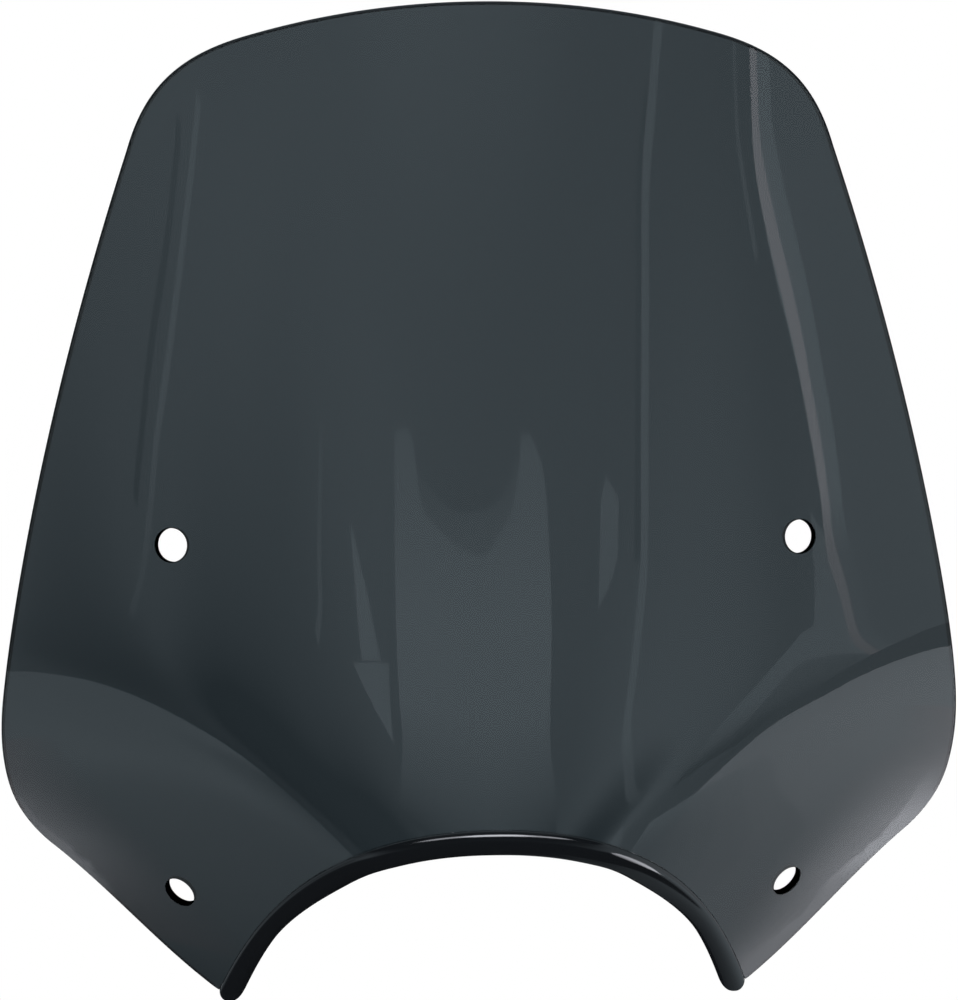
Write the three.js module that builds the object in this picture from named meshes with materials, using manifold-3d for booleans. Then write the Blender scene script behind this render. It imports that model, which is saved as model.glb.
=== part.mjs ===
// A motorcycle windshield screen: one bent sheet of dark tinted plastic with two swept-back
// lower wings, four mounting holes, and a rolled moulding round its headlight opening.
//
// Millimetres. +X is to the right of someone facing the screen's front, -Y is the front
// and +Z is up. X = 0 is the plane of symmetry, and the origin is the centre of the four
// mounting holes.

import * as THREE from 'three';
import { mergeVertices } from 'three/addons/utils/BufferGeometryUtils.js';
import Module from 'manifold-3d';

const wasm = await Module();
wasm.setup();

// ---- Driving dimensions -------------------------------------------------------------

const SHEET_THICKNESS = 4;

// Main panel: bent round a vertical axis, its sides further back than its centre line.
const PANEL_SWEEP = 46;           // how far back the panel lies at SWEEP_REACH
const SWEEP_REACH = 200;          // distance from the centre line where that holds
const PANEL_BEND = 2.4;           // 2 is a parabola; more keeps the middle flatter
const PANEL_LEAN = 0.03;          // the foot of the panel lies this much further back per mm

// Lower wings: planes that fall back, outwards and downwards, then gently curled.
const WING_SWEEP = 0.855;         // depth gained per mm outwards
const WING_RAKE = 0.757;          // depth gained per mm downwards
const WING_CURL = 0.000378;       // eases the sweep towards the wing's outer edge
const WING_SETBACK = 93.6;        // the wings' planes at the origin, in front of the panel
const WING_ROLL = 0.0035;         // steepens a wing by this share per mm it lies behind the panel
const WING_ROLL_REACH = 64.4;     // how far behind the panel it has the plain slope, at its hole
const CREASE_SOFTNESS = 14;       // how widely the panel rolls over into a wing

// Outline of the right half, as [x, z].
const TOP_Z = 336;
const TOP_RADIUS = 450;
const TOP_ARC_END_X = 108;
const SHOULDER_CORNER = [155.5, 312];
const SHOULDER_END = [168, 271];
const SIDE_BULGE = [214.5, 138];
const SIDE_END = [234, 9];
const HIP_CORNER = [240.5, -38];
const HIP_END = [214.1, -61.5];
const CORNER_FULLNESS = 0.72;     // how far a rounded corner reaches into its sharp corner
const WING_TIP = [131, -137];
const WING_EDGE_HANDLES = [[184.2, -84.8], [160.8, -115]];

// Headlight opening: the line where the sheet rolls back, right half, as [x, z].
const ARCH_TOP_Z = -50.5;
const ARCH_HANDLES = [[76, ARCH_TOP_Z], [108.7, -86.2]];

// Rolled moulding round the headlight opening.
// Outside radius of the roll, by share of the way from the centre line to the wing's tip.
const LIP_RADII = [[0, 13.2], [0.2, 13.2], [0.5, 14.2], [0.8, 9.3], [1, 9.6]];
const LIP_TURN = Math.PI / 2;     // the roll turns from the sheet's face to straight back
const LIP_OVERHANG = 5;           // how far each end runs past the wing's tip, in front view
const SEAM_GAP = 0.3;             // clear gap between the moulding and the sheet

// Mounting holes, on a rectangle centred on the origin.
const HOLE_DIAMETER = 16;
const HOLE_HALF_SPAN = 149;
const HOLE_HALF_RISE = 85;
const DRILL_LENGTH = 24;
const SEAT_RADIUS = 28;           // flat seat round each hole, for a washer or grommet
const SEAT_BLEND_RADIUS = 44;     // where the seat has run out into the bent sheet

// Fineness of the facets.
const SHEET_COLUMNS = 17;         // per half
const SHEET_ROWS = 34;
const TOP_SHARE = 0.3;            // share of the outline that is the grid's top side
const LIP_STEPS = 22;             // per half
const ROLL_STEPS = 6;
const ROUND_SEGMENTS = 48;

// ---- The sheet's front surface ------------------------------------------------------

// The larger of two depths, with a soft changeover.
function softLarger(a, b, softness) {
  return 0.5 * (a + b + Math.hypot(a - b, softness));
}

// Depth of the bent sheet at (x, z), before the seats are flattened.
function bentDepth(x, z) {
  const side = Math.abs(x);
  const panel = PANEL_SWEEP * (side / SWEEP_REACH) ** PANEL_BEND - PANEL_LEAN * z;
  const wing = (WING_SWEEP - WING_CURL * side) * side - WING_RAKE * z - WING_SETBACK;
  const drop = wing - panel;
  const steepness = 1 + WING_ROLL * (Math.max(drop, 0) / 2 - WING_ROLL_REACH);
  return panel + softLarger(0, drop * steepness, CREASE_SOFTNESS);
}

// Slopes of a depth function along x and z.
function slopes(depth, x, z) {
  const h = 0.05;
  return [
    (depth(x + h, z) - depth(x - h, z)) / (2 * h),
    (depth(x, z + h) - depth(x, z - h)) / (2 * h),
  ];
}

// Unit normal on the front side of a depth function.
function frontNormal(depth, x, z) {
  const [alongX, alongZ] = slopes(depth, x, z);
  return new THREE.Vector3(alongX, -1, alongZ).normalize();
}

const HOLES = [];
for (const z of [HOLE_HALF_RISE, -HOLE_HALF_RISE]) {
  for (const x of [-HOLE_HALF_SPAN, HOLE_HALF_SPAN]) {
    HOLES.push({
      centre: new THREE.Vector3(x, bentDepth(x, z), z),
      normal: frontNormal(bentDepth, x, z),
      slope: slopes(bentDepth, x, z),
    });
  }
}

// Depth of the finished front face: the bent sheet, eased to flat round each hole.
function faceDepth(x, z) {
  const bent = bentDepth(x, z);
  for (const { centre, slope } of HOLES) {
    const flat = centre.y + slope[0] * (x - centre.x) + slope[1] * (z - centre.z);
    const reach = centre.distanceTo(new THREE.Vector3(x, flat, z));
    if (reach < SEAT_BLEND_RADIUS) {
      const blend = THREE.MathUtils.smoothstep(reach, SEAT_RADIUS, SEAT_BLEND_RADIUS);
      return THREE.MathUtils.lerp(flat, bent, blend);
    }
  }
  return bent;
}

// A point of the face, or one at some distance behind it.
function facePoint(x, z, behind = 0) {
  const point = new THREE.Vector3(x, faceDepth(x, z), z);
  return point.addScaledVector(frontNormal(faceDepth, x, z), -behind);
}

// ---- Outline curves of the right half, as (x, z) ------------------------------------

function vec(pair) {
  return new THREE.Vector2(pair[0], pair[1]);
}

// A rounded corner from one point to another, inside a sharp corner.
function roundedCorner(from, corner, to) {
  return new THREE.CubicBezierCurve(
    vec(from),
    vec(from).lerp(vec(corner), CORNER_FULLNESS),
    vec(to).lerp(vec(corner), CORNER_FULLNESS),
    vec(to),
  );
}

// From the top of the centre line, round the shoulder and down the side to the wing's tip.
function outerEdge() {
  const turn = Math.asin(TOP_ARC_END_X / TOP_RADIUS);
  const topArcEnd = [TOP_ARC_END_X, TOP_Z - TOP_RADIUS * (1 - Math.cos(turn))];
  const topArc = new THREE.EllipseCurve(
    0, TOP_Z - TOP_RADIUS, TOP_RADIUS, TOP_RADIUS, Math.PI / 2, Math.PI / 2 - turn, true,
  );
  const edge = new THREE.CurvePath();
  edge.add(topArc);
  edge.add(roundedCorner(topArcEnd, SHOULDER_CORNER, SHOULDER_END));
  edge.add(new THREE.QuadraticBezierCurve(vec(SHOULDER_END), vec(SIDE_BULGE), vec(SIDE_END)));
  edge.add(roundedCorner(SIDE_END, HIP_CORNER, HIP_END));
  edge.add(new THREE.CubicBezierCurve(
    vec(HIP_END), vec(WING_EDGE_HANDLES[0]), vec(WING_EDGE_HANDLES[1]), vec(WING_TIP),
  ));
  return edge;
}

// From the centre line of the headlight opening down to the wing's tip.
function archEdge() {
  return new THREE.CubicBezierCurve(
    new THREE.Vector2(0, ARCH_TOP_Z), vec(ARCH_HANDLES[0]), vec(ARCH_HANDLES[1]), vec(WING_TIP),
  );
}

// ---- Solids -------------------------------------------------------------------------

// A closed mesh as a manifold solid.
function solidOf(geometry) {
  const bare = geometry.clone();
  bare.deleteAttribute('normal');
  bare.deleteAttribute('uv');
  const merged = mergeVertices(bare, 1e-4);
  return new wasm.Manifold(new wasm.Mesh({
    numProp: 3,
    vertProperties: new Float32Array(merged.attributes.position.array),
    triVerts: new Uint32Array(merged.index.array),
  }));
}

// A manifold solid as a three.js geometry.
function geometryOf(solid) {
  const { vertProperties, triVerts } = solid.getMesh();
  const geometry = new THREE.BufferGeometry();
  geometry.setAttribute('position', new THREE.BufferAttribute(vertProperties, 3));
  geometry.setIndex(new THREE.BufferAttribute(triVerts, 1));
  geometry.computeVertexNormals();
  return geometry;
}

// A closed skin over rings of points. Each ring is a loop that goes along one face and back
// along the other, and the first and last are closed by a strip across the loop.
function tubeGeometry(rings) {
  const size = rings[0].length;
  const positions = rings.flat().flatMap((point) => [point.x, point.y, point.z]);
  const index = [];
  for (let i = 0; i < rings.length - 1; i++) {
    for (let j = 0; j < size; j++) {
      const a = i * size + j;
      const b = i * size + (j + 1) % size;
      index.push(a, b, b + size, a, b + size, a + size);
    }
  }
  const last = (rings.length - 1) * size;
  for (let j = 0; j < size / 2 - 1; j++) {
    const k = size - 1 - j;
    index.push(j, k, k - 1, j, k - 1, j + 1);
    index.push(last + j, last + k - 1, last + k, last + j, last + j + 1, last + k - 1);
  }
  const geometry = new THREE.BufferGeometry();
  geometry.setAttribute('position', new THREE.Float32BufferAttribute(positions, 3));
  geometry.setIndex(index);
  return geometry;
}

// The grid of the right half: row v = 0 is the arch, row v = 1 the top, column u = 0 the
// centre line and column u = 1 the side, filled in between as a Coons patch.
function halfGrid() {
  const outer = outerEdge();
  const arch = archEdge();
  const tip = vec(WING_TIP);
  const shoulder = outer.getPoint(TOP_SHARE);
  const rows = [];
  for (let j = 0; j <= SHEET_ROWS; j++) {
    const v = j / SHEET_ROWS;
    const side = outer.getPoint(1 - v * (1 - TOP_SHARE));
    const centre = new THREE.Vector2(0, THREE.MathUtils.lerp(ARCH_TOP_Z, TOP_Z, v));
    const row = [];
    for (let i = 0; i <= SHEET_COLUMNS; i++) {
      const u = i / SHEET_COLUMNS;
      const across = centre.clone().lerp(side, u);
      const upright = arch.getPointAt(u).lerp(outer.getPoint(TOP_SHARE * u), v);
      const foot = new THREE.Vector2(0, ARCH_TOP_Z).lerp(tip, u);
      const head = new THREE.Vector2(0, TOP_Z).lerp(shoulder, u);
      row.push(across.add(upright).sub(foot.lerp(head, v)));
    }
    rows.push(row);
  }
  return rows;
}

// The whole sheet, before its holes are drilled. Each ring goes along one row of the
// front face from left to right, and back along the rear face.
function sheetBlank() {
  const rings = halfGrid().map((row) => {
    const left = row.slice(1).reverse().map((point) => new THREE.Vector2(-point.x, point.y));
    const whole = [...left, ...row];
    const front = whole.map((point) => facePoint(point.x, point.y));
    const rear = whole.map((point) => facePoint(point.x, point.y, SHEET_THICKNESS));
    return [...front, ...rear.reverse()];
  });
  return solidOf(tubeGeometry(rings));
}

// A drill through the sheet at a hole, square to its seat.
function drill(hole) {
  const radius = HOLE_DIAMETER / 2;
  const geometry = new THREE.CylinderGeometry(radius, radius, DRILL_LENGTH, ROUND_SEGMENTS);
  const upright = new THREE.Vector3(0, 1, 0);
  geometry.applyQuaternion(new THREE.Quaternion().setFromUnitVectors(upright, hole.normal));
  geometry.translate(hole.centre.x, hole.centre.y, hole.centre.z);
  return solidOf(geometry);
}

// The tinted sheet, with its mounting holes drilled.
function screenSheet() {
  let sheet = sheetBlank();
  for (const hole of HOLES) {
    sheet = sheet.subtract(drill(hole));
  }
  return geometryOf(sheet);
}

// The roll's outside radius at a share of the way from the centre line to the tip.
function lipRadius(share) {
  const next = Math.max(LIP_RADII.findIndex(([at]) => at >= share), 1);
  const [from, fromRadius] = LIP_RADII[next - 1];
  const [to, toRadius] = LIP_RADII[next];
  const blend = THREE.MathUtils.smoothstep(share, from, to);
  return THREE.MathUtils.lerp(fromRadius, toRadius, blend);
}

// The rolled moulding: a quarter ring swept along the arch, its start face parallel to
// the sheet's cut edge and its far edge facing straight back.
function headlightLip() {
  const arch = archEdge();
  const end = arch.getTangent(1);
  const path = [];
  for (let i = 0; i <= LIP_STEPS; i++) {
    const t = i / LIP_STEPS;
    path.push({ at: arch.getPointAt(t), along: arch.getTangentAt(t), radius: lipRadius(t) });
  }
  const overhang = vec(WING_TIP).addScaledVector(end, LIP_OVERHANG);
  path.push({ at: overhang, along: end, radius: lipRadius(1) });
  const mirrored = path.slice(1).reverse().map(({ at, along, radius }) => ({
    at: new THREE.Vector2(-at.x, at.y),
    along: new THREE.Vector2(along.x, -along.y),
    radius,
  }));
  const rings = [...mirrored, ...path].map(({ at, along, radius }) => {
    const fold = new THREE.Vector3(at.x, bentDepth(at.x, at.y), at.y);
    const normal = frontNormal(bentDepth, at.x, at.y);
    const [alongX, alongZ] = slopes(bentDepth, at.x, at.y);
    const tangent = new THREE.Vector3(along.x, alongX * along.x + alongZ * along.y, along.y);
    const inward = new THREE.Vector3().crossVectors(tangent, normal).normalize();
    const axis = fold.clone()
      .addScaledVector(inward, SEAM_GAP)
      .addScaledVector(normal, -radius);
    const arc = (reach) => Array.from({ length: ROLL_STEPS + 1 }, (_, k) => {
      const turn = LIP_TURN * k / ROLL_STEPS;
      return axis.clone()
        .addScaledVector(normal, reach * Math.cos(turn))
        .addScaledVector(inward, reach * Math.sin(turn));
    });
    return [...arc(radius), ...arc(radius - SHEET_THICKNESS).reverse()];
  });
  return geometryOf(solidOf(tubeGeometry(rings)));
}

// ---- Assembly -----------------------------------------------------------------------

const tint = new THREE.MeshStandardMaterial({
  color: 0x373e42, roughness: 0.08, metalness: 0, transparent: true, opacity: 0.93,
});
const moulding = new THREE.MeshStandardMaterial({ color: 0x17171a, roughness: 0.12, metalness: 0 });

function part(name, geometry, material) {
  const mesh = new THREE.Mesh(geometry, material);
  mesh.name = name;
  return mesh;
}

const screen = new THREE.Group();
screen.add(part('screen_sheet', screenSheet(), tint));
screen.add(part('headlight_lip', headlightLip(), moulding));

// The surface is drawn from the panel's own front line, so the whole screen moves forward
// until the origin is the centre of the holes.
screen.position.y = -(HOLES[0].centre.y + HOLES[2].centre.y) / 2;

export default screen;
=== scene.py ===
# A motorcycle windshield screen in a white studio: a bent sheet of smoke-tinted acrylic with
# two swept-back wings, four drilled holes, and a black moulding round its headlight opening.
#
# Shapes are worked out in millimetres, in the CAD model's frame, and written in metres.
# +X is to the right of someone facing the screen's front, -Y is the front and +Z is up.

import math

import bpy
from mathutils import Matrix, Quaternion, Vector, geometry


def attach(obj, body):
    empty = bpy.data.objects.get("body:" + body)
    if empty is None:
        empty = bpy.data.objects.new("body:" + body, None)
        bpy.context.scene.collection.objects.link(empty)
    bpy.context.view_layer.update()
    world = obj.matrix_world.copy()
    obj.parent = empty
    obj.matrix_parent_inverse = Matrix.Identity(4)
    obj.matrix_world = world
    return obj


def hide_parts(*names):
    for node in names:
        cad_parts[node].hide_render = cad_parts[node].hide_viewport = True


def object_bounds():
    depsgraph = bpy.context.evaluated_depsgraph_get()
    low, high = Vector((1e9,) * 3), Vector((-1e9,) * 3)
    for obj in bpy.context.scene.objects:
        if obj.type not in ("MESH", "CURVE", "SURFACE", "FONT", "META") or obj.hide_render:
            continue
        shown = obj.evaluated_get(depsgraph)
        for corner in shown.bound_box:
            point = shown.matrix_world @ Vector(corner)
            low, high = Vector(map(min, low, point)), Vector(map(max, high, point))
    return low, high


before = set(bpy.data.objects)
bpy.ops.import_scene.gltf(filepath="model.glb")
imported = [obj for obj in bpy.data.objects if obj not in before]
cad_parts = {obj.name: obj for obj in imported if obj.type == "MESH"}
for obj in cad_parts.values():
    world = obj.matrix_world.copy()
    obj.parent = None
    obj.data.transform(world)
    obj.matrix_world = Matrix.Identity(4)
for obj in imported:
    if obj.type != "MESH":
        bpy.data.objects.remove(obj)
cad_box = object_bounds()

MM = 0.001

# ---- Driving dimensions, as in the CAD model, in millimetres ---------------------------

SHEET_THICKNESS = 4.0

PANEL_SWEEP = 46.0
SWEEP_REACH = 200.0
PANEL_BEND = 2.4
PANEL_LEAN = 0.03

WING_SWEEP = 0.855
WING_RAKE = 0.757
WING_CURL = 0.000378
WING_SETBACK = 93.6
WING_ROLL = 0.0035
WING_ROLL_REACH = 64.4
CREASE_SOFTNESS = 14.0

TOP_Z = 336.0
TOP_RADIUS = 450.0
TOP_ARC_END_X = 108.0
SHOULDER_CORNER = (155.5, 312.0)
SHOULDER_END = (168.0, 271.0)
SIDE_BULGE = (214.5, 138.0)
SIDE_END = (234.0, 9.0)
HIP_CORNER = (240.5, -38.0)
HIP_END = (214.1, -61.5)
CORNER_FULLNESS = 0.72
WING_TIP = (131.0, -137.0)
WING_EDGE_HANDLES = ((184.2, -84.8), (160.8, -115.0))

ARCH_TOP_Z = -50.5
ARCH_HANDLES = ((76.0, ARCH_TOP_Z), (108.7, -86.2))

LIP_RADII = ((0.0, 13.2), (0.2, 13.2), (0.5, 14.2), (0.8, 9.3), (1.0, 9.6))
LIP_TURN = math.pi / 2
LIP_OVERHANG = 5.0
SEAM_GAP = 0.06                   # 0.3 in the CAD model, where the two need clearance

HOLE_RADIUS = 8.0
HOLE_HALF_SPAN = 149.0
HOLE_HALF_RISE = 85.0

# ---- Finish of the edges and fineness of the meshes, in millimetres --------------------

EDGE_ROUND = 1.6                  # outer edge of the panel
WING_EDGE_ROUND = 0.5             # lower edges of the wings
SEAM_ROUND = 0.25                 # along the moulding
HOLE_ROUND = 0.35                 # drilled holes, lightly eased
LIP_EDGE_ROUND = 1.1
PANEL_EDGE_END = (-45.0, -20.0)   # heights between which the one changes to the other
LIP_FOLD_CORNER = 7.0             # rounded ends of the moulding, on the sheet's side
LIP_FREE_CORNER = 5.5             # and on the free side
ROUND_STEPS = 5
EDGE_SPACING = 2.2
GRID_SPACING = 4.6
HOLE_SIDES = 72
SLOPE_STEP = 0.05
GRID_CLEARANCE = 0.6 * GRID_SPACING
MERGE_DISTANCE = 1e-6
TIP_SHARPNESS = 6                 # pull of a wing's sharp tip on the point that stands for it

# ---- Camera and studio, in metres and degrees ------------------------------------------

SENSOR_WIDTH = 0.036
FOCAL_LENGTH = 0.1313
CAMERA_PLACE = (-0.0938, -1.7528, 0.1043)
CAMERA_TARGET = (-0.0048, -0.0552, 0.1043)
CAMERA_ROLL = -0.767
VIEW_DISTANCE = 100.0

FLOOR_SIZE = 40.0
FLOOR_GAP = 0.001
WALL_DISTANCE = 2.0
LOW_CARD_HEIGHT = -0.35

ACRYLIC_IOR = 1.49


# ---- The sheet's front surface ---------------------------------------------------------

def soft_larger(a, b, softness):
    """The larger of two depths, with a soft changeover."""
    return 0.5 * (a + b + math.hypot(a - b, softness))


def face_depth(x, z):
    """Depth of the sheet's front face at (x, z).

    The CAD model also flattens small seats round the holes. That moves its face by about a
    millimetre, and here the sheet keeps its natural bend.
    """
    side = abs(x)
    panel = PANEL_SWEEP * (side / SWEEP_REACH) ** PANEL_BEND - PANEL_LEAN * z
    wing = (WING_SWEEP - WING_CURL * side) * side - WING_RAKE * z - WING_SETBACK
    drop = wing - panel
    steepness = 1 + WING_ROLL * (max(drop, 0.0) / 2 - WING_ROLL_REACH)
    return panel + soft_larger(0.0, drop * steepness, CREASE_SOFTNESS)


def slopes(x, z):
    h = SLOPE_STEP
    along_x = (face_depth(x + h, z) - face_depth(x - h, z)) / (2 * h)
    along_z = (face_depth(x, z + h) - face_depth(x, z - h)) / (2 * h)
    return along_x, along_z


def on_face(x, z):
    return Vector((x, face_depth(x, z), z))


def front_normal(x, z):
    along_x, along_z = slopes(x, z)
    return Vector((along_x, -1.0, along_z)).normalized()


def smoothstep(value, low, high):
    t = min(max((value - low) / (high - low), 0.0), 1.0)
    return t * t * (3 - 2 * t)


def lerp(a, b, t):
    return a + (b - a) * t


class Hole:
    """A mounting hole, drilled square to the sheet."""

    def __init__(self, x, z):
        self.centre = on_face(x, z)
        self.normal = front_normal(x, z)
        self.across = self.normal.cross(Vector((0, 0, 1))).normalized()
        self.upward = self.across.cross(self.normal)

    def ring(self, radius, sides):
        """Points of a circle round the hole, as (x, z)."""
        points = []
        for k in range(sides):
            turn = math.tau * k / sides
            reach = self.across * math.cos(turn) + self.upward * math.sin(turn)
            point = self.centre + reach * radius
            points.append(Vector((point.x, point.z)))
        return points


HOLES = [
    Hole(x, z)
    for z in (HOLE_HALF_RISE, -HOLE_HALF_RISE)
    for x in (-HOLE_HALF_SPAN, HOLE_HALF_SPAN)
]

# The frame's origin is the centre of the holes, and the depths are drawn from the panel's
# own front line, so every point moves forward by this much.
FORWARD = sum(hole.centre.y for hole in HOLES) / len(HOLES)


# ---- Outline curves of the right half, as (x, z) ---------------------------------------

def bezier(controls, steps=160):
    """Points of a Bezier curve of any degree."""
    points = []
    for k in range(steps + 1):
        t = k / steps
        level = [Vector(p) for p in controls]
        while len(level) > 1:
            level = [a.lerp(b, t) for a, b in zip(level, level[1:])]
        points.append(level[0])
    return points


def rounded_corner(start, corner, end):
    """A rounded corner from one point to another, inside a sharp corner."""
    near_start = Vector(start).lerp(Vector(corner), CORNER_FULLNESS)
    near_end = Vector(end).lerp(Vector(corner), CORNER_FULLNESS)
    return bezier([start, near_start, near_end, end])


def top_arc(steps=120):
    turn = math.asin(TOP_ARC_END_X / TOP_RADIUS)
    points = []
    for k in range(steps + 1):
        angle = turn * k / steps
        drop = TOP_RADIUS * (1 - math.cos(angle))
        points.append(Vector((TOP_RADIUS * math.sin(angle), TOP_Z - drop)))
    return points


def chained(*curves):
    """Curves end to end as one line, without the doubled points."""
    line = list(curves[0])
    for curve in curves[1:]:
        line.extend(curve[1:])
    return line


def outer_edge():
    """From the top of the centre line, round the shoulder and down to the wing's tip."""
    arc = top_arc()
    return chained(
        arc,
        rounded_corner(arc[-1], SHOULDER_CORNER, SHOULDER_END),
        bezier([SHOULDER_END, SIDE_BULGE, SIDE_END]),
        rounded_corner(SIDE_END, HIP_CORNER, HIP_END),
        bezier([HIP_END, *WING_EDGE_HANDLES, WING_TIP]),
    )


def arch_edge():
    """From the centre line of the headlight opening down to the wing's tip."""
    return bezier([(0.0, ARCH_TOP_Z), *ARCH_HANDLES, WING_TIP])


class Line:
    """A line of points that is read by distance along it."""

    def __init__(self, points):
        self.points = points
        self.reach = [0.0]
        for a, b in zip(points, points[1:]):
            self.reach.append(self.reach[-1] + (b - a).length)
        self.length = self.reach[-1]
        self.last = 0

    def at(self, distance):
        """The point at a distance along the line."""
        i = self.last
        while i > 0 and self.reach[i] > distance:
            i -= 1
        while i < len(self.points) - 2 and self.reach[i + 1] < distance:
            i += 1
        self.last = i
        share = (distance - self.reach[i]) / (self.reach[i + 1] - self.reach[i])
        return self.points[i].lerp(self.points[i + 1], share)

    def along(self, distance, step=0.5):
        """The line's direction at a distance along it."""
        low = max(distance - step, 0.0)
        high = min(distance + step, self.length)
        return (self.at(high) - self.at(low)).normalized()

    def even(self, spacing):
        """Evenly spaced points, both ends included."""
        count = max(round(self.length / spacing), 1)
        return [self.at(self.length * k / count) for k in range(count + 1)]


# ---- A solid slab from a face, its edges rounded ---------------------------------------

class Slab:
    """Grows a closed sheet of even thickness from points and triangles of its front face.

    Each rim is a loop of point numbers with a direction outwards and a rounding radius for
    each. The rim's points lie one rounding radius inside the finished edge.
    """

    def __init__(self, points, normals, triangles, thickness):
        self.thickness = thickness
        self.count = len(points)
        rear = [p - n * thickness for p, n in zip(points, normals)]
        self.points = list(points) + rear
        self.normals = list(normals) + [-n for n in normals]
        self.faces = [tuple(t) for t in triangles]
        self.faces += [tuple(i + self.count for i in reversed(t)) for t in triangles]
        self.slots = [0] * len(self.faces)

    def add_rim(self, loop, outwards, radii, wall_slots, first_row=0):
        """Closes the slab along one rim. The loop goes round with the front face on its left.

        From the given row on, counted from the front face, the rim takes the material slot
        given for each point, and before it the face's own.
        """
        columns = [
            self.rim_column(i, out, radius)
            for i, out, radius in zip(loop, outwards, radii)
        ]
        size = len(loop)
        for k in range(size):
            here = columns[k]
            there = columns[(k + 1) % size]
            for j in range(len(here) - 1):
                self.faces.append((here[j], here[j + 1], there[j + 1], there[j]))
                self.slots.append(wall_slots[k] if j >= first_row else 0)

    def rim_column(self, index, out, radius):
        """Point numbers from the front face, round the edge, to the rear face."""
        point = self.points[index]
        normal = self.normals[index]
        column = [index]
        for k in range(1, ROUND_STEPS + 1):
            turn = math.pi / 2 * k / ROUND_STEPS
            move = out * math.sin(turn) - normal * (1 - math.cos(turn))
            aim = out * math.sin(turn) + normal * math.cos(turn)
            column.append(self.add_point(point + move * radius, aim))
        for k in range(ROUND_STEPS):
            turn = math.pi / 2 * k / ROUND_STEPS
            move = out * math.cos(turn) + normal * (1 - math.sin(turn))
            aim = out * math.cos(turn) - normal * math.sin(turn)
            base = point - normal * self.thickness
            column.append(self.add_point(base + move * radius, aim))
        column.append(index + self.count)
        return column

    def add_point(self, point, normal):
        self.points.append(point)
        self.normals.append(normal.normalized())
        return len(self.points) - 1

    def build(self, name, materials):
        """The slab as a mesh object that rides on the part."""
        forward = Vector((0, FORWARD, 0))
        mesh = bpy.data.meshes.new(name)
        mesh.from_pydata([(p - forward) * MM for p in self.points], [], self.faces)
        for material in materials:
            mesh.materials.append(material)
        mesh.polygons.foreach_set("material_index", self.slots)
        mesh.polygons.foreach_set("use_smooth", [True] * len(self.faces))
        mesh.normals_split_custom_set_from_vertices(self.normals)
        mesh.update()
        piece = bpy.data.objects.new(name, mesh)
        bpy.context.scene.collection.objects.link(piece)
        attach(piece, "root")
        return piece


# ---- The tinted sheet ------------------------------------------------------------------

def sheet_outline():
    """The whole outline, going round with the sheet on its left, and each point's rounding."""
    tip = Vector(WING_TIP)
    outer = Line(outer_edge()).even(EDGE_SPACING)
    arch = Line(arch_edge()).even(EDGE_SPACING)
    # The tip's sharp corner gives way to one point a little inside it.
    soft_tip = (outer[-2] + arch[-2] + tip * TIP_SHARPNESS) / (TIP_SHARPNESS + 2)
    right = outer[:-1] + [soft_tip] + arch[-2::-1]
    rounds = [
        lerp(WING_EDGE_ROUND, EDGE_ROUND, smoothstep(p.y, *PANEL_EDGE_END)) for p in outer
    ]
    rounds += [SEAM_ROUND] * (len(arch) - 1)
    left = [Vector((-p.x, p.y)) for p in reversed(right[1:-1])]
    left_rounds = list(reversed(rounds[1:-1]))
    # Seen from the front, right then left goes clockwise, so the loop is turned round.
    return (right + left)[::-1], (rounds + left_rounds)[::-1]


def outward_directions(points, normals):
    """Directions square to a closed loop and in the surface, away from what is on its left."""
    size = len(points)
    directions = []
    for k in range(size):
        forward = points[(k + 1) % size] - points[k - 1]
        directions.append(forward.cross(normals[k]).normalized())
    return directions


def inside(point, loop):
    """True if a point is inside a closed loop of (x, z) points."""
    x, z = point
    hit = False
    for a, b in zip(loop, loop[1:] + loop[:1]):
        if (a.y > z) != (b.y > z) and x < a.x + (b.x - a.x) * (z - a.y) / (b.y - a.y):
            hit = not hit
    return hit


def grid_points(loop):
    """Points of a triangular grid inside a loop, clear of it and of the holes."""
    row_height = GRID_SPACING * math.sqrt(3) / 2
    half_rows = math.ceil(TOP_Z / row_height)
    half_columns = math.ceil(HIP_CORNER[0] / GRID_SPACING)
    hole_margin = HOLE_RADIUS + HOLE_ROUND + GRID_CLEARANCE
    found = []
    for row in range(-half_rows, half_rows + 1):
        z = row * row_height
        shift = 0.5 * (row % 2)
        crossings = sorted(
            a.x + (b.x - a.x) * (z - a.y) / (b.y - a.y)
            for a, b in zip(loop, loop[1:] + loop[:1])
            if (a.y > z) != (b.y > z)
        )
        for column in range(-half_columns, half_columns + 1):
            x = (column + shift) * GRID_SPACING
            if sum(c < x for c in crossings) % 2 == 0:
                continue
            point = Vector((x, z))
            if min((point - p).length for p in loop) < GRID_CLEARANCE:
                continue
            place = on_face(x, z)
            if min((place - hole.centre).length for hole in HOLES) < hole_margin:
                continue
            found.append(point)
    return found


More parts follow.
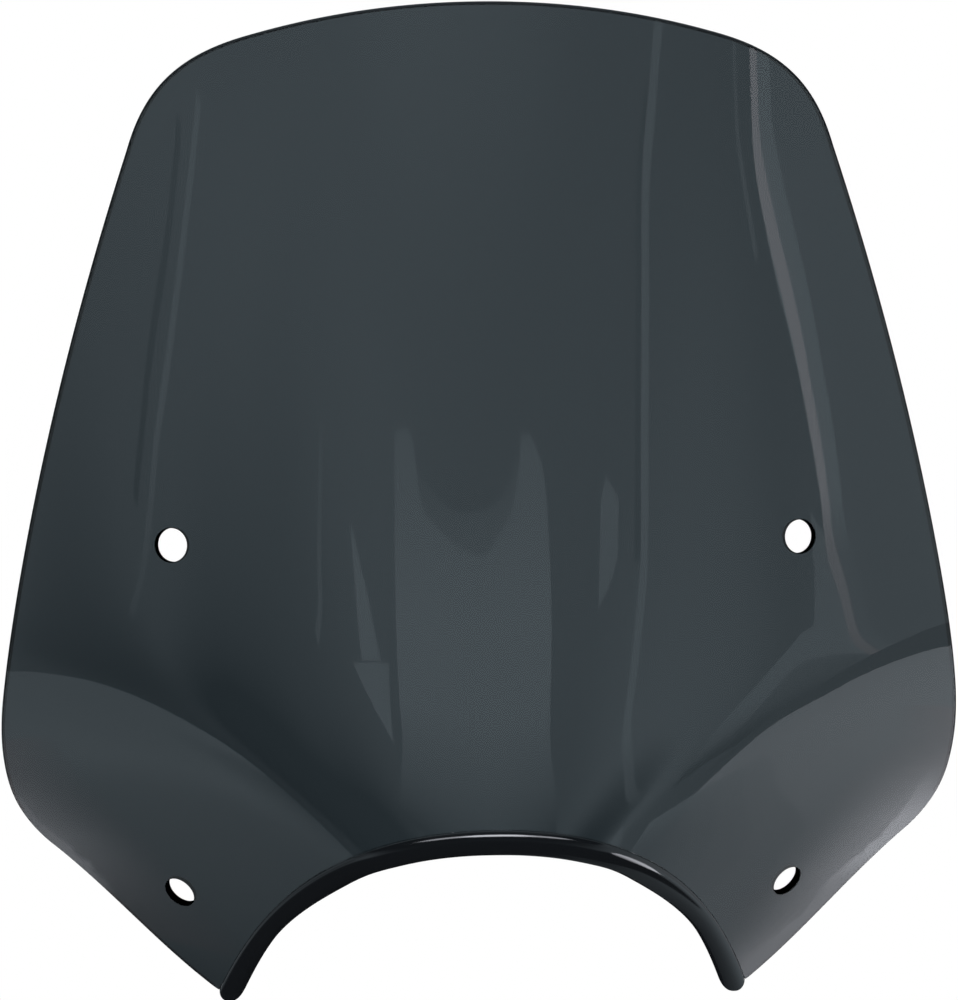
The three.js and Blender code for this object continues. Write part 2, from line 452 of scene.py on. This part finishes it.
def build_sheet(materials):
    outline, rounds = sheet_outline()
    edge = [on_face(*p) for p in outline]
    edge_normals = [front_normal(*p) for p in outline]
    edge_out = outward_directions(edge, edge_normals)
    inset = [p - out * r for p, out, r in zip(edge, edge_out, rounds)]

    flat = [Vector((p.x, p.z)) for p in inset]
    loops = [list(range(len(flat)))]
    for hole in HOLES:
        loops.append(list(range(len(flat), len(flat) + HOLE_SIDES)))
        flat += hole.ring(HOLE_RADIUS + HOLE_ROUND, HOLE_SIDES)
    flat += grid_points(flat[:len(outline)])

    edges = [(a, b) for loop in loops for a, b in zip(loop, loop[1:] + loop[:1])]
    found = geometry.delaunay_2d_cdt(flat, edges, [], 1, MERGE_DISTANCE)
    places, triangles, origins = found[0], found[2], found[3]
    number = {old: new for new, olds in enumerate(origins) for old in olds}
    loops = [[number[i] for i in loop] for loop in loops]

    rims = [(hole, [places[i] for i in loop]) for hole, loop in zip(HOLES, loops[1:])]
    kept = []
    for triangle in triangles:
        middle = sum((places[i] for i in triangle), Vector((0, 0))) / 3
        near = [rim for hole, rim in rims if abs(middle.x - hole.centre.x) < 2 * HOLE_RADIUS
                and abs(middle.y - hole.centre.z) < 2 * HOLE_RADIUS]
        if not any(inside(middle, rim) for rim in near):
            kept.append(triangle)

    points = [on_face(*p) for p in places]
    normals = [front_normal(*p) for p in places]
    slab = Slab(points, normals, kept, SHEET_THICKNESS)
    # Round the panel the cut edge is matt near-black: the matt is the cut's finish, the
    # near-black a painted shade for the dark line that the tinted edge shows. Below, along the
    # wings, it stays polished glass.
    walls = [1 if p.y > PANEL_EDGE_END[0] else 0 for p in outline]
    slab.add_rim(loops[0], edge_out, rounds, walls)
    for hole, loop in zip(HOLES, loops[1:]):
        inwards = [(hole.centre - points[i]).normalized() for i in loop]
        rim_rounds = [HOLE_ROUND] * HOLE_SIDES
        # The hole walls take the same matt near-black, a painted shade for the dark that the
        # tinted sheet shows inside them.
        dark = [1] * HOLE_SIDES
        slab.add_rim(loop[::-1], inwards[::-1], rim_rounds, dark, ROUND_STEPS)
    piece = slab.build("tinted_sheet", materials)
    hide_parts("screen_sheet")
    return piece


# ---- The rolled moulding ---------------------------------------------------------------

def lip_radius(share):
    """The roll's outside radius at a share of the way from the centre line to the tip."""
    spans = list(zip(LIP_RADII, LIP_RADII[1:]))
    (start, first), (stop, last) = next(span for span in spans if share <= span[1][0] + 1e-9)
    return lerp(first, last, smoothstep(share, start, stop))


class Fold:
    """The line where the sheet meets the moulding, read by signed distance from the centre."""

    def __init__(self):
        self.arch = Line(arch_edge())
        self.end = self.arch.length + LIP_OVERHANG

    def frame_at(self, distance):
        """Roll axis, front normal, inward direction and roll radius at a distance."""
        side = 1.0 if distance >= 0 else -1.0
        reach = min(abs(distance), self.arch.length)
        at = self.arch.at(reach)
        along = self.arch.along(reach)
        beyond = abs(distance) - reach
        x = side * (at.x + along.x * beyond)
        z = at.y + along.y * beyond
        slope_x, slope_z = slopes(x, z)
        normal = front_normal(x, z)
        run_x = along.x
        run_z = side * along.y
        tangent = Vector((run_x, slope_x * run_x + slope_z * run_z, run_z))
        inward = tangent.cross(normal).normalized()
        radius = lip_radius(reach / self.arch.length)
        axis = on_face(x, z) + inward * SEAM_GAP - normal * radius
        return axis, normal, inward, radius


def corner_drop(from_side, radius):
    """How far a rounded corner falls short of a square one, at a distance from its side."""
    if from_side >= radius:
        return 0.0
    return radius - math.sqrt(radius ** 2 - (radius - from_side) ** 2)


def build_lip(materials, columns=180, rows=22):
    fold = Fold()
    width = lip_radius(1.0) * LIP_TURN
    points = []
    normals = []
    for j in range(rows + 1):
        share = j / rows
        drop = max(
            corner_drop(share * width, LIP_FOLD_CORNER),
            corner_drop((1 - share) * width, LIP_FREE_CORNER),
        )
        reach = fold.end - drop - LIP_EDGE_ROUND
        for i in range(columns + 1):
            distance = reach * (2 * i / columns - 1)
            axis, normal, inward, radius = fold.frame_at(distance)
            low = SEAM_ROUND / radius
            high = LIP_TURN - LIP_EDGE_ROUND / radius
            turn = lerp(low, high, share)
            aim = normal * math.cos(turn) + inward * math.sin(turn)
            points.append(axis + aim * radius)
            normals.append(aim)

    def number(i, j):
        return j * (columns + 1) + i

    triangles = []
    for j in range(rows):
        for i in range(columns):
            square = (number(i, j), number(i, j + 1), number(i + 1, j + 1), number(i + 1, j))
            triangles.append(square)
    loop = [number(i, 0) for i in range(columns, 0, -1)]
    loop += [number(0, j) for j in range(rows)]
    loop += [number(i, rows) for i in range(columns)]
    loop += [number(columns, j) for j in range(rows, 0, -1)]
    rounds = [SEAM_ROUND] * columns + [LIP_EDGE_ROUND] * (len(loop) - columns)

    outwards = outward_directions([points[i] for i in loop], [normals[i] for i in loop])
    slab = Slab(points, normals, triangles, SHEET_THICKNESS)
    slab.add_rim(loop, outwards, rounds, [0] * len(loop))
    piece = slab.build("rolled_lip", materials)
    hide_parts("headlight_lip")
    return piece


# ---- Materials -------------------------------------------------------------------------

def new_material(name):
    material = bpy.data.materials.new(name)
    material.use_nodes = True
    shader = material.node_tree.nodes["Principled BSDF"]
    return material, material.node_tree, shader


def noise(tree, scale, detail=3.0):
    """Noise in the part's own space, in metres."""
    place = tree.nodes.new("ShaderNodeTexCoord")
    node = tree.nodes.new("ShaderNodeTexNoise")
    node.inputs["Scale"].default_value = scale
    node.inputs["Detail"].default_value = detail
    tree.links.new(place.outputs["Object"], node.inputs["Vector"])
    return node.outputs["Fac"]


def spread(tree, value, low, high):
    """Maps the middle of a noise onto a range."""
    node = tree.nodes.new("ShaderNodeMapRange")
    node.inputs["From Min"].default_value = 0.3
    node.inputs["From Max"].default_value = 0.7
    node.inputs["To Min"].default_value = low
    node.inputs["To Max"].default_value = high
    tree.links.new(value, node.inputs["Value"])
    return node.outputs["Result"]


def ripple(tree, shader, height, distance):
    """Faint waviness of the surface."""
    node = tree.nodes.new("ShaderNodeBump")
    node.inputs["Strength"].default_value = 1.0
    node.inputs["Distance"].default_value = distance
    tree.links.new(height, node.inputs["Height"])
    tree.links.new(node.outputs["Normal"], shader.inputs["Normal"])


def smoke_tint():
    material, tree, shader = new_material("smoke_tint")
    shader.inputs["Base Color"].default_value = (1, 1, 1, 1)
    shader.inputs["Transmission Weight"].default_value = 1.0
    shader.inputs["IOR"].default_value = ACRYLIC_IOR
    tree.links.new(spread(tree, noise(tree, 26.0), 0.012, 0.024), shader.inputs["Roughness"])
    ripple(tree, shader, noise(tree, 9.0, 1.0), 0.00003)
    tint = tree.nodes.new("ShaderNodeVolumeAbsorption")
    tint.inputs["Color"].default_value = (0.02, 0.10, 0.14, 1)
    tint.inputs["Density"].default_value = 1000.0
    output = tree.nodes["Material Output"]
    tree.links.new(tint.outputs["Volume"], output.inputs["Volume"])
    return material


# Matt near-black for the cut edges and hole walls: the matt is the cut's finish, the near-black a
# painted shade for the dark that tinted acrylic shows edge-on.
def cut_edge_painted_shade():
    material, tree, shader = new_material("cut_edge_painted_shade")
    shader.inputs["Base Color"].default_value = (0.004, 0.005, 0.006, 1)
    shader.inputs["Specular IOR Level"].default_value = 0.15
    tree.links.new(spread(tree, noise(tree, 900.0), 0.35, 0.55), shader.inputs["Roughness"])
    return material


def lip_black():
    # The near-black base is the moulding's own colour, with painted light added: its slight blue
    # stands for the faint light that comes through the tinted roll.
    material, tree, shader = new_material("lip_black")
    shader.inputs["Base Color"].default_value = (0.0068, 0.0078, 0.0092, 1)
    shader.inputs["IOR"].default_value = ACRYLIC_IOR
    tree.links.new(spread(tree, noise(tree, 40.0), 0.05, 0.09), shader.inputs["Roughness"])
    ripple(tree, shader, noise(tree, 14.0, 1.0), 0.0001)
    return material


# ---- Studio ----------------------------------------------------------------------------

ROOM_TONE = (0.85, 1.0, 1.09, 1)   # cool daylight in the screen's reflections
WING_TONE = (0.91, 1.0, 1.08, 1)
LAMP_TONE = (0.98, 1.0, 1.07, 1)   # the brighter things, which are nearly white


def hide_from(thing, *rays):
    for ray in rays:
        setattr(thing, "visible_" + ray, False)


def white_floor(height):
    """A plain floor, bright enough to read as white. The gloss of the screen ignores it."""
    bpy.ops.mesh.primitive_plane_add(size=FLOOR_SIZE, location=(0, 0, height))
    floor = bpy.context.object
    floor.name = "floor"
    material, tree, shader = new_material("floor_white")
    shader.inputs["Base Color"].default_value = (0, 0, 0, 1)
    shader.inputs["Specular IOR Level"].default_value = 0.0
    shader.inputs["Emission Color"].default_value = (1, 1, 1, 1)
    shader.inputs["Emission Strength"].default_value = 1.0
    floor.data.materials.append(material)
    hide_from(floor, "glossy")


class Surroundings:
    """The world: white to the camera and through the sheet, a dim grey room to its gloss."""

    def __init__(self, room):
        world = bpy.data.worlds.new("studio")
        bpy.context.scene.world = world
        world.use_nodes = True
        self.tree = world.node_tree
        self.tree.nodes.clear()
        place = self.tree.nodes.new("ShaderNodeTexCoord")
        self.direction = place.outputs["Generated"]
        value = self.tree.nodes.new("ShaderNodeValue")
        value.outputs[0].default_value = room
        self.level = value.outputs[0]

    def math(self, operation, a, b):
        node = self.tree.nodes.new("ShaderNodeMath")
        node.operation = operation
        for socket, value in zip(node.inputs, (a, b)):
            if isinstance(value, float):
                socket.default_value = value
            else:
                self.tree.links.new(value, socket)
        return node.outputs[0]

    def glow(self, source, half_width, strength):
        """A soft lobe of light from one direction. A negative strength takes light away."""
        dot = self.tree.nodes.new("ShaderNodeVectorMath")
        dot.operation = "DOT_PRODUCT"
        self.tree.links.new(self.direction, dot.inputs[0])
        dot.inputs[1].default_value = source.normalized()
        fade = self.tree.nodes.new("ShaderNodeMapRange")
        fade.interpolation_type = "SMOOTHSTEP"
        fade.inputs["From Min"].default_value = math.cos(math.radians(half_width))
        fade.inputs["From Max"].default_value = 1.0
        fade.inputs["To Max"].default_value = strength
        self.tree.links.new(dot.outputs["Value"], fade.inputs["Value"])
        self.level = self.math("ADD", self.level, fade.outputs["Result"])

    def finish(self):
        rays = self.tree.nodes.new("ShaderNodeLightPath")
        direct = self.math(
            "MAXIMUM", rays.outputs["Is Camera Ray"], rays.outputs["Is Transmission Ray"]
        )
        room = self.tree.nodes.new("ShaderNodeBackground")
        self.tree.links.new(self.math("MAXIMUM", self.level, 0.0), room.inputs["Strength"])
        white = self.tree.nodes.new("ShaderNodeBackground")
        white.inputs["Color"].default_value = (1, 1, 1, 1)
        room.inputs["Color"].default_value = ROOM_TONE
        mix = self.tree.nodes.new("ShaderNodeMixShader")
        self.tree.links.new(direct, mix.inputs[0])
        self.tree.links.new(room.outputs[0], mix.inputs[1])
        self.tree.links.new(white.outputs[0], mix.inputs[2])
        output = self.tree.nodes.new("ShaderNodeOutputWorld")
        self.tree.links.new(mix.outputs[0], output.inputs["Surface"])


class Wall:
    """An upright plane at a distance from the origin, on which light cards hang.

    Its azimuth is measured from the front towards +X. Places on it are (across, height) in
    metres, and the cards only show in the gloss of the screen.
    """

    def __init__(self, azimuth, spacing=0.004):
        turn = math.radians(azimuth)
        self.spacing = spacing
        self.outwards = Vector((math.sin(turn), -math.cos(turn), 0))
        self.across = Vector((math.cos(turn), math.sin(turn), 0))
        self.cards = 0

    def card(self, outline, levels, tone=ROOM_TONE):
        """A flat card with a brightness at each of some heights, highest first."""
        # Each further card hangs a little in front of the last.
        self.cards += 1
        middle = self.outwards * (WALL_DISTANCE - self.spacing * self.cards)
        points = [middle + self.across * u + Vector((0, 0, v)) for u, v in outline]
        light_card(points, glowing(levels, "Z", tone))

    def strip(self, line, width, levels, tone=ROOM_TONE):
        """A card of even width along a smooth line."""
        line = smoothed(line)
        right = []
        left = []
        for k, (u, v) in enumerate(line):
            before = Vector(line[max(k - 1, 0)])
            after = Vector(line[min(k + 1, len(line) - 1)])
            along = (after - before).normalized()
            side = Vector((along.y, -along.x)) * width / 2
            right.append(Vector((u, v)) + side)
            left.append(Vector((u, v)) - side)
        self.card(right + left[::-1], levels, tone)


def light_card(points, material):
    """A flat polygon of light that only shows in gloss."""
    mesh = bpy.data.meshes.new("card")
    mesh.from_pydata(points, [], [tuple(range(len(points)))])
    mesh.materials.append(material)
    card = bpy.data.objects.new("card", mesh)
    bpy.context.scene.collection.objects.link(card)
    hide_from(card, "camera", "diffuse", "transmission", "volume_scatter", "shadow")


def smoothed(line, steps=8):
    """A smooth line through every given point."""
    ends = [line[0], *line, line[-1]]
    points = []
    for k in range(len(line) - 1):
        a, b, c, d = (Vector(p) for p in ends[k:k + 4])
        for j in range(steps):
            t = j / steps
            curve = (2 * a - 5 * b + 4 * c - d) * t * t + (3 * b - a - 3 * c + d) * t ** 3
            points.append(b + ((c - a) * t + curve) / 2)
    points.append(Vector(line[-1]))
    return points


def glowing(levels, axis, tone=ROOM_TONE):
    """A light-giving material, its brightness given as pairs of (place along an axis, value)."""
    material = bpy.data.materials.new("card_light")
    material.use_nodes = True
    tree = material.node_tree
    tree.nodes.clear()
    place = tree.nodes.new("ShaderNodeTexCoord")
    split = tree.nodes.new("ShaderNodeSeparateXYZ")
    tree.links.new(place.outputs["Object"], split.inputs[0])
    light = tree.nodes.new("ShaderNodeEmission")
    light.inputs["Color"].default_value = tone
    light.inputs["Strength"].default_value = levels[0][1]
    strength = None
    for (high, first), (low, last) in zip(levels, levels[1:]):
        fade = tree.nodes.new("ShaderNodeMapRange")
        fade.inputs["From Min"].default_value = high
        fade.inputs["From Max"].default_value = low
        fade.inputs["To Min"].default_value = 0.0 if strength else first
        fade.inputs["To Max"].default_value = last - first if strength else last
        tree.links.new(split.outputs[axis], fade.inputs["Value"])
        if strength is None:
            strength = fade.outputs["Result"]
            continue
        total = tree.nodes.new("ShaderNodeMath")
        tree.links.new(strength, total.inputs[0])
        tree.links.new(fade.outputs["Result"], total.inputs[1])
        strength = total.outputs[0]
    if strength:
        tree.links.new(strength, light.inputs["Strength"])
    output = tree.nodes.new("ShaderNodeOutputMaterial")
    tree.links.new(light.outputs[0], output.inputs["Surface"])
    return material


def set_up_camera():
    data = bpy.data.cameras.new("camera")
    data.sensor_width = SENSOR_WIDTH / MM
    data.lens = FOCAL_LENGTH / MM
    data.clip_end = VIEW_DISTANCE
    camera = bpy.data.objects.new("camera", data)
    bpy.context.scene.collection.objects.link(camera)
    aim = Vector(CAMERA_TARGET) - Vector(CAMERA_PLACE)
    roll = Quaternion((0, 0, 1), math.radians(CAMERA_ROLL))
    camera.location = CAMERA_PLACE
    camera.rotation_mode = "QUATERNION"
    camera.rotation_quaternion = aim.to_track_quat("-Z", "Y") @ roll
    bpy.context.scene.camera = camera


def towards(azimuth, elevation):
    """A direction, its azimuth measured from the front towards +X."""
    turn = math.radians(azimuth)
    rise = math.radians(elevation)
    level = math.cos(rise)
    return Vector((math.sin(turn) * level, -math.cos(turn) * level, math.sin(rise)))


def light_room():
    """Broad, soft light and shade of the room all round."""
    room = Surroundings(0.62)
    room.glow(towards(0, -35), 32, -0.65)
    room.glow(towards(-55, -22), 34, -0.51)
    room.glow(towards(100, -42), 30, 0.41)
    room.glow(towards(-30, 12), 40, 0.17)
    room.glow(towards(0, 18), 20, 0.35)
    room.glow(towards(75, 0), 34, 0.15)
    room.glow(towards(-72, 4), 42, 0.33)
    room.glow(towards(-62, -14), 16, -0.2)
    room.glow(towards(-28, -20), 22, -0.46)
    room.glow(towards(-20, -10), 14, -0.12)
    room.glow(towards(31, -16), 20, 0.27)
    room.glow(towards(24, -23), 13, -0.75)
    # The ceiling's light, which shows along the top edge.
    room.glow(towards(0, 80), 55, 1.6)
    # Nothing lights the back, nor what lies straight below.
    room.glow(towards(180, 0), 85, -3.0)
    room.glow(towards(0, -90), 40, -2.0)
    room.finish()


def hang_front_cards():
    wall = Wall(0)
    # The bright window in front of the screen, which shows low in the middle of the panel.
    crest = [(-0.25, 0.05), (-0.175, 0.05), (-0.135, -0.02), (-0.095, -0.04), (0, -0.065),
             (0.085, -0.075), (0.135, -0.055), (0.18, -0.02), (0.206, 0.048)]
    right_side = [(0.236, 0.048), (0.295, 0), (0.326, -0.126), (0.344, -0.29),
                  (0.416, -0.396), (0.5, -0.52)]
    left_side = [(-0.44, -0.52), (-0.295, -0.335), (-0.275, -0.244), (-0.266, -0.126),
                 (-0.25, 0.05)]
    blurred = [(-0.19, 0.03), (-0.135, 0.005), (0, -0.03), (0.135, -0.02), (0.19, 0.03)]
    wall.card(smoothed(blurred) + [(0.2, -0.2), (-0.2, -0.2)], [(0.03, 0.7), (-0.06, 0.88)])
    wall.card(smoothed(crest) + smoothed(right_side) + smoothed(left_side)[:-1],
              [(0.05, 0.98), (-0.15, 1.22), (-0.25, 1.18), (-0.36, 0.75), (-0.5, 0.2)])
    # A folded fan of paler card beside it.
    wall.card([(-0.493, -0.043), (-0.48, -0.109), (-0.463, -0.211), (-0.357, -0.205),
               (-0.406, -0.13)], [(0, 1.15)])
    wall.card([(-0.517, -0.218), (-0.316, -0.205), (-0.335, -0.321)], [(0, 1.1)])
    wall.strip([(-0.643, 0.06), (-0.662, -0.006), (-0.683, -0.1), (-0.69, -0.15),
                (-0.727, -0.205)], 0.025, [(0, 0.8)])
    # A thin upright strip to the right with shade beside it, and a small block left of it.
    wall.strip([(0.86, 0.4), (0.8, 0.31), (0.79, 0.18), (0.783, 0.05), (0.783, -0.1)],
               0.04, [(0, 0.5)])
    wall.strip([(1.0, 0.56), (0.93, 0.47), (0.89, 0.4), (0.84, 0.31), (0.832, 0.18),
                (0.825, 0.05), (0.825, -0.1), (0.8, -0.19), (0.782, -0.29), (0.8, -0.37),
                (0.921, -0.513), (1.1, -0.7), (1.348, -0.907)],
               0.05, [(0.47, 1.0), (-0.1, 1.1), (-0.37, 1.12), (-0.52, 0.8), (-0.9, 0.5)])
    wall.card([(0.59, 0), (0.562, -0.024), (0.555, -0.145), (0.609, -0.124), (0.66, -0.092),
               (0.664, -0.026)], [(0, 1.05)])
    # A small lamp low in front, which lights the moulding's crown.
    wall.card([(-0.3, -1.15), (-0.14, -1.0), (0.4, -1.0), (0.6, -1.15), (0.4, -1.32),
               (-0.14, -1.32)], [(-1.0, 2.0), (-1.1, 6.5), (-1.22, 6.0), (-1.32, 2.0)], LAMP_TONE)
    wall.card([(-0.03, -1.15), (0.03, -0.97), (0.25, -0.97), (0.31, -1.15), (0.25, -1.37),
               (0.03, -1.37)], [(-0.97, 4.0), (-1.08, 14.0), (-1.24, 14.0), (-1.37, 4.0)],
              LAMP_TONE)


def hang_right_cards():
    wall = Wall(50)
    # Pale folds low beside the crease, and the spike of light where the crease ends.
    wall.card([(0.1, -0.3), (0.9, -0.72), (0.6, -0.8), (0.45, -0.9), (0.36, -1.05), (0.1, -1.0)],
              [(-0.5, 0.85), (-0.75, 0.7), (-1.0, 0.4)])
    wall.card([(0.1, -0.03), (0.125, -0.095), (0.143, -0.115), (0.165, -0.185), (0.196, -0.269),
               (0.126, -0.278), (0.069, -0.324), (-0.009, -0.39), (-0.079, -0.477),
               (-0.141, -0.564), (-0.181, -0.667), (-0.15, -0.8), (-0.08, -1.0), (0.18, -1.0),
               (0.13, -0.83), (0.135, -0.736), (0.139, -0.6), (0.173, -0.489), (0.228, -0.453),
               (0.45, -0.5), (0.75, -0.64), (0.5, -0.3), (0.3, -0.1)],
              [(-0.1, 1.08), (-0.35, 1.12), (-0.6, 1.08), (-0.75, 0.9), (-0.95, 0.42)])
    wall.card([(-0.485, -0.942), (-0.43, -1.06), (-0.34, -1.15), (-0.02, -1.33),
               (-0.24, -1.12)], [(0, 1.0)])
    # The room's corner: a paler wall to the right, with a bright line of light down its edge.
    corner = [(-0.3, 0.6), (-0.268, 0.4), (-0.25, 0.343), (-0.198, 0.294), (-0.127, 0.245),
              (-0.048, 0.196), (0.024, 0.146), (0.084, 0.095), (0.146, 0.041),
              (0.197, -0.018), (0.24, -0.08), (0.363, -0.187), (0.565, -0.44), (0.842, -0.694)]
    wall.card(smoothed(corner) + [(1.6, -0.7), (1.6, 0.6)], [(0.4, 0.95), (-0.3, 0.85)])
    wall.strip([(u + 0.05, v) for u, v in corner], 0.11, [(0.0, 1.35), (-0.1, 0.95)])
    wall.strip(corner, 0.045, [(0.0, 2.2), (-0.08, 1.5), (-0.3, 1.35), (-0.6, 1.15)],
               LAMP_TONE)
    wall.strip([(-0.403, 0.5), (-0.385, 0.373), (-0.341, 0.313), (-0.257, 0.234)], 0.02,
               [(0.4, 0.95)])


def hang_left_cards():
    wall = Wall(-50)
    # A pale line down the left side, with a darker one beside it.
    wall.strip([(0.42, 0.4), (0.37, 0.337), (0.3, 0.258), (0.2, 0.153), (0.1, 0.055),
                (0.05, -0.02), (-0.03, -0.12), (-0.14, -0.225)], 0.03,
               [(0.4, 1.15), (0.1, 1.0), (-0.2, 0.55)])
    wall.strip([(0.288, 0.378), (0.263, 0.339), (0.196, 0.26), (0.08, 0.156), (0.001, 0.057),
                (-0.049, -0.012)], 0.03, [(0.3, 0.55), (0.0, 0.35)])


def hang_right_wing_cards():
    """Low cards that show in the right wing. Their upper edge draws the crease."""
    right = Wall(80, spacing=0.001)
    edge = [(-0.6, -1.7), (-0.52, -1.45), (-0.5, -1.12), (-0.28, -0.98), (-0.14, -0.82),
            (0.2, -0.55), (0.9, -0.3)]
    right.strip(edge, 0.5, [(0, 0.55)])
    right.card([(-1.0, -1.8), (-1.1, -1.5), (-1.13, -1.42), (-1.0, -1.36), (-0.8, -1.31),
                (-0.5, -1.12), (-0.3, -1.2), (-0.4, -2.3)], [(0, 0.6)])
    right.card(smoothed(edge) + [(1.8, -0.3), (1.8, -2.6), (-0.6, -2.6)],
               [(-1.0, 1.65), (-1.3, 1.6), (-1.5, 1.47), (-1.65, 1.32), (-1.77, 1.18),
                (-1.86, 1.02), (-2.02, 0.82), (-2.3, 0.75)], WING_TONE)
    # The wing darkens towards the headlight opening.
    add_steps(right, [(1.1, -2.1), (1.05, -1.95), (0.85, -1.8), (0.55, -1.65), (0.28, -1.5),
                      (0.1, -1.42)], -1.1, [(-0.5, -1.42), (-0.6, -1.7), (-0.6, -2.1)],
              [(-1.42, 1.5, 1.2, 1.2), (-1.6, 1.35, 0.85, 0.85), (-1.75, 1.18, 0.68, 0.68),
               (-1.9, 0.97, 0.7, 0.7), (-2.1, 0.8, 0.7, 0.7)],
              (WING_TONE, ROOM_TONE), count=8, ease=0.7)
    # It brightens towards the sheet's edge.
    rise = [(0.36, -1.3), (0.53, -1.5), (0.63, -1.66), (0.76, -1.82), (0.87, -1.94),
            (0.96, -2.03), (1.07, -2.12), (1.16, -2.2), (1.33, -2.35)]
    add_steps(right, rise, 0.126, [(1.8, -2.35), (1.8, -1.3)],
              [(-1.45, 1.5, 1.6, 1.6), (-1.6, 1.37, 1.9, 1.9), (-1.66, 1.31, 2.1, 2.25),
               (-1.82, 1.09, 2.8, 3.8), (-1.94, 0.92, 2.5, 3.8), (-2.03, 0.81, 1.9, 2.4),
               (-2.12, 0.79, 1.7, 1.95), (-2.2, 0.77, 1.6, 1.65), (-2.35, 0.75, 1.4, 1.4)],
              (WING_TONE, LAMP_TONE))
    # A lamp lower still, which lights the fold on this side of the opening.
    right.card([(-1.6, -3.5), (-1.15, -2.9), (-0.5, -2.7), (0.1, -2.7), (0.4, -2.85),
                (0.67, -3.25), (0.55, -3.7), (0.1, -4.1), (-0.8, -4.2), (-1.4, -4.0)],
               [(-2.7, 3.5), (-3.1, 7.5), (-3.5, 5.0), (-3.9, 2.5), (-4.2, 0.8)], LAMP_TONE)


def hang_left_wing_cards():
    """The same for the left wing, which is darker, without the lower lamp."""
    left = Wall(-80, spacing=0.001)
    edge = [(1.05, -1.75), (1.05, -1.6), (1.0, -1.4), (0.9, -1.25), (0.75, -1.14),
            (0.57, -1.02), (0.4, -0.93), (0.2, -0.87), (-0.2, -0.78), (-0.6, -0.7)]
    crease = smoothed(edge)
    left.card(crease + [(-2.0, -0.7), (-2.0, -2.7), (1.05, -2.7)],
              [(-1.5, 0.82), (-1.72, 0.82), (-1.8, 0.73), (-1.9, 0.62), (-2.05, 0.54),
               (-2.2, 0.47), (-2.4, 0.35), (-2.6, 0.2)])
    below = [p for p in reversed(crease) if p[1] < -1.3]
    add_steps(left, [(0.1, -1.9), (0.2, -1.7), (0.2, -1.5), (0.15, -1.3)], 0.75,
              below + [(1.05, -1.9)],
              [(-1.3, 0.82, 0.82, 0.82), (-1.42, 0.82, 0.45, 0.45), (-1.52, 0.82, 0.38, 0.38),
               (-1.7, 0.82, 0.5, 0.5), (-1.9, 0.62, 0.62, 0.62)],
              (ROOM_TONE, ROOM_TONE), count=8, ease=1.0)
    rise = [(-0.3, -1.6), (-0.42, -1.79), (-0.52, -1.95), (-0.62, -2.1), (-0.69, -2.19),
            (-0.77, -2.28), (-0.86, -2.37), (-0.96, -2.47)]
    add_steps(left, rise, -0.12, [(-1.6, -2.47), (-1.6, -1.6)],
              [(-1.6, 0.8, 0.82, 0.82), (-1.79, 0.72, 0.9, 0.95), (-1.95, 0.58, 1.25, 1.5),
               (-2.1, 0.5, 1.35, 1.7), (-2.19, 0.45, 1.0, 1.85), (-2.28, 0.4, 0.65, 1.25),
               (-2.37, 0.35, 0.42, 0.5), (-2.47, 0.28, 0.3, 0.3)],
              (ROOM_TONE, LAMP_TONE))


def hang_dark_cards():
    """Dark screens at the far sides, which the rounded edges of the panel mirror."""
    low, high = -0.5, 1.3
    for azimuth, start, stop in ((100, -0.58, 0.9), (-100, -0.9, 0.6)):
        Wall(azimuth).card([(start, low), (stop, low), (stop, high), (start, high)], [(0, 0.0)])


def lay_low_card():
    """A pale sheet below the right side, brighter outwards, which shows in the moulding."""
    corners = [(0.03, 0.06), (0.3, 0.06), (0.3, 0.45), (0.03, 0.45)]
    points = [Vector((x, y, LOW_CARD_HEIGHT)) for x, y in corners]
    light_card(points, glowing([(0.05, 0.06), (0.12, 0.17), (0.17, 0.3), (0.3, 0.8)], "X"))


def add_steps(wall, edge, reach, far_side, levels, tones, count=12, ease=2.5):
    """Cards that change in small steps, each edge a little further across than the last.

    Each level is a height with the brightness before the first step, just before the last
    step, and at the last. The tone goes from the first of two to the second.
    """
    for k in range(1, count + 1):
        share = k / count
        shifted = [(u + reach * share, v) for u, v in edge]
        between = []
        for height, before, near, last in levels:
            level = last if k == count else lerp(before, near, share ** ease)
            between.append((height, level))
        mixed = [lerp(a, b, share) for a, b in zip(*tones)]
        wall.card(smoothed(shifted) + far_side, between, mixed)


def set_up_studio():
    bpy.context.scene.view_settings.view_transform = "Standard"
    white_floor(cad_box[0][2] - FLOOR_GAP)
    light_room()
    hang_front_cards()
    hang_right_cards()
    hang_left_cards()
    hang_right_wing_cards()
    hang_left_wing_cards()
    hang_dark_cards()
    lay_low_card()


# ---- The whole scene -------------------------------------------------------------------

build_sheet([smoke_tint(), cut_edge_painted_shade()])
build_lip([lip_black()])
set_up_studio()
set_up_camera()
